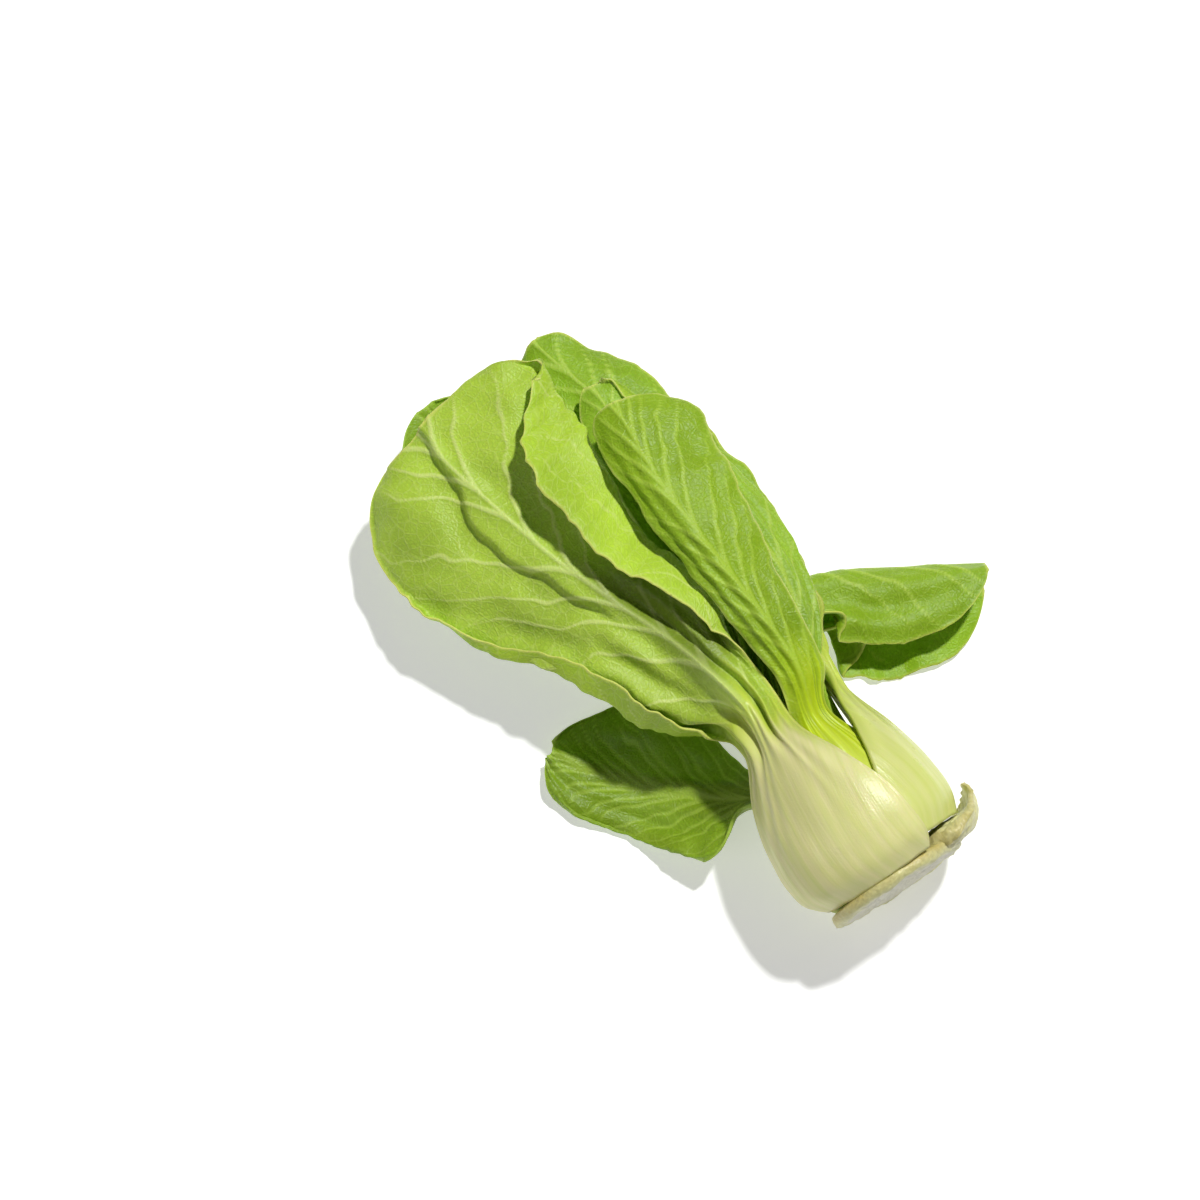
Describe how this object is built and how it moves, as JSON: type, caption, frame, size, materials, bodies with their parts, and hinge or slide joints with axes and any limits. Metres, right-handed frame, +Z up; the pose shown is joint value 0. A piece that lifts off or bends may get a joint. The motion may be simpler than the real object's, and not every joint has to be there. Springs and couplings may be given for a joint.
{
  "type": "bok choy",
  "caption": "Head of bok choy lying on its side: a cut stem base, swollen pale stalks nested in a bulb, and broad green blades that fold, cup and splay towards the tips.",
  "frame": {"origin": "middle of the small flat spot under the bulb, on the surface that the head lies on", "axes": "+X along the surface from the cut stem towards the leaf tips, +Y to the left of the head as seen from above with its tips pointing away, +Z up"},
  "size_m": [0.1977, 0.1525, 0.0613],
  "materials": {
    "stem": "moist cream stem flesh, pale tan at the cut and in the crease",
    "outer_leaf": "pale cream ribbed stalk that turns into a satin green blade with raised veins",
    "lower_leaf": "pale stalk and a deep green blade, satin",
    "inner_leaf": "yellow-green stalk and a mid green blade, satin",
    "heart_leaf": "young yellow-green leaf, satin"
  },
  "bodies": {
    "root": {"stem_base": "stem", "leaf_outer_left": "outer_leaf", "leaf_outer_right": "outer_leaf", "leaf_underneath": "lower_leaf", "leaf_low_left": "lower_leaf", "leaf_low_right": "outer_leaf", "leaf_top": "inner_leaf", "leaf_inner_right": "inner_leaf", "leaf_inner_rolled": "inner_leaf", "leaf_inner_back": "heart_leaf", "leaf_heart_upper": "heart_leaf", "leaf_heart_lower": "heart_leaf"}
  },
  "joints": []
}
